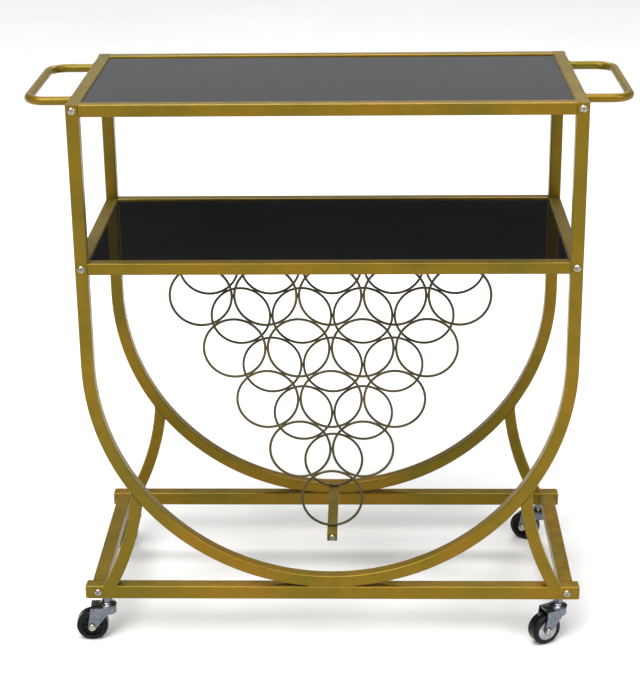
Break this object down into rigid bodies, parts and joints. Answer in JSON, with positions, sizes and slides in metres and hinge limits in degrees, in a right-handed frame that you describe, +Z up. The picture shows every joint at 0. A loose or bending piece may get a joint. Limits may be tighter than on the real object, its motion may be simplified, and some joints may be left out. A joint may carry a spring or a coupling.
{
  "type": "bar cart",
  "caption": "Wheeled bar cart: two black glass shelves in a square-tube frame with bowl-shaped ends, a hanging triangular ring rack for bottles, side handles and swivel casters.",
  "frame": {"origin": "on the floor, under the middle of the cart", "axes": "+X to the right across the cart's width, +Y from its front to its back, +Z up"},
  "size_m": [0.9, 0.3904, 0.875],
  "materials": {
    "gold_paint": "satin antique gold",
    "gold_wire": "satin antique gold",
    "black_glass": "polished",
    "screw_steel": "bright",
    "zinc_steel": "bright zinc",
    "hub_cover": "bright",
    "black_wheel": "gloss",
    "grey_nylon": "matte",
    "clear_pad": "clear, soft"
  },
  "bodies": {
    "frame": {"front_frame_loop": "gold_paint", "rear_frame_loop": "gold_paint", "front_left_leg": "gold_paint", "front_right_leg": "gold_paint", "rear_left_leg": "gold_paint", "rear_right_leg": "gold_paint", "front_base_bar": "gold_paint", "rear_base_bar": "gold_paint", "left_base_bar": "gold_paint", "right_base_bar": "gold_paint", "front_top_rail": "gold_paint", "rear_top_rail": "gold_paint", "left_top_rail": "gold_paint", "right_top_rail": "gold_paint", "front_shelf_rail": "gold_paint", "rear_shelf_rail": "gold_paint", "left_shelf_rail": "gold_paint", "right_shelf_rail": "gold_paint", "left_handle": "gold_paint", "right_handle": "gold_paint", "post_caps": "gold_paint", "base_bar_caps": "gold_paint", "top_glass": "black_glass", "shelf_glass": "black_glass", "top_glass_ledges": "gold_paint", "shelf_glass_ledges": "gold_paint", "glass_pads": "clear_pad", "front_bottle_rings": "gold_wire", "rear_bottle_rings": "gold_wire", "front_rack_bar": "gold_paint", "rear_rack_bar": "gold_paint", "rack_tie_bar": "gold_paint", "tie_bar_screws": "screw_steel", "rack_screws": "screw_steel", "front_frame_screws": "screw_steel", "rear_frame_screws": "screw_steel", "rail_end_inserts": "grey_nylon", "caster_stem_nuts": "zinc_steel", "front_left_caster_stem": "zinc_steel", "front_right_caster_stem": "zinc_steel", "rear_left_caster_stem": "zinc_steel", "rear_right_caster_stem": "zinc_steel"},
    "front_left_swivel": {"front_left_caster_fork": "zinc_steel", "front_left_caster_axle": "screw_steel"},
    "front_left_wheel": {"front_left_caster_wheel": "black_wheel", "front_left_caster_hub": "hub_cover"},
    "front_right_swivel": {"front_right_caster_fork": "zinc_steel", "front_right_caster_axle": "screw_steel"},
    "front_right_wheel": {"front_right_caster_wheel": "black_wheel", "front_right_caster_hub": "hub_cover"},
    "rear_left_swivel": {"rear_left_caster_fork": "zinc_steel", "rear_left_caster_axle": "screw_steel"},
    "rear_left_wheel": {"rear_left_caster_wheel": "black_wheel", "rear_left_caster_hub": "hub_cover"},
    "rear_right_swivel": {"rear_right_caster_fork": "zinc_steel", "rear_right_caster_axle": "screw_steel"},
    "rear_right_wheel": {"rear_right_caster_wheel": "black_wheel", "rear_right_caster_hub": "hub_cover"}
  },
  "joints": [
    {"name": "front_left_swivel", "type": "hinge", "parent": "frame", "child": "front_left_swivel", "pos_m": [-0.358, -0.164, 0.05], "axis": [0, 0, 1], "continuous": true},
    {"name": "front_left_roll", "type": "hinge", "parent": "front_left_swivel", "child": "front_left_wheel", "pos_m": [-0.38294, -0.16574, 0.025], "axis": [0.0698, -0.9976, 0], "continuous": true},
    {"name": "front_right_swivel", "type": "hinge", "parent": "frame", "child": "front_right_swivel", "pos_m": [0.358, -0.164, 0.05], "axis": [0, 0, 1], "continuous": true},
    {"name": "front_right_roll", "type": "hinge", "parent": "front_right_swivel", "child": "front_right_wheel", "pos_m": [0.33593, -0.17574, 0.025], "axis": [0.4695, -0.8829, 0], "continuous": true},
    {"name": "rear_left_swivel", "type": "hinge", "parent": "frame", "child": "rear_left_swivel", "pos_m": [-0.358, 0.164, 0.05], "axis": [0, 0, 1], "continuous": true},
    {"name": "rear_left_roll", "type": "hinge", "parent": "rear_left_swivel", "child": "rear_left_wheel", "pos_m": [-0.3705, 0.14235, 0.025], "axis": [0.866, -0.5, 0], "continuous": true},
    {"name": "rear_right_swivel", "type": "hinge", "parent": "frame", "child": "rear_right_swivel", "pos_m": [0.358, 0.164, 0.05], "axis": [0, 0, 1], "continuous": true},
    {"name": "rear_right_roll", "type": "hinge", "parent": "rear_right_swivel", "child": "rear_right_wheel", "pos_m": [0.33593, 0.17574, 0.025], "axis": [-0.4695, -0.8829, 0], "continuous": true}
  ]
}
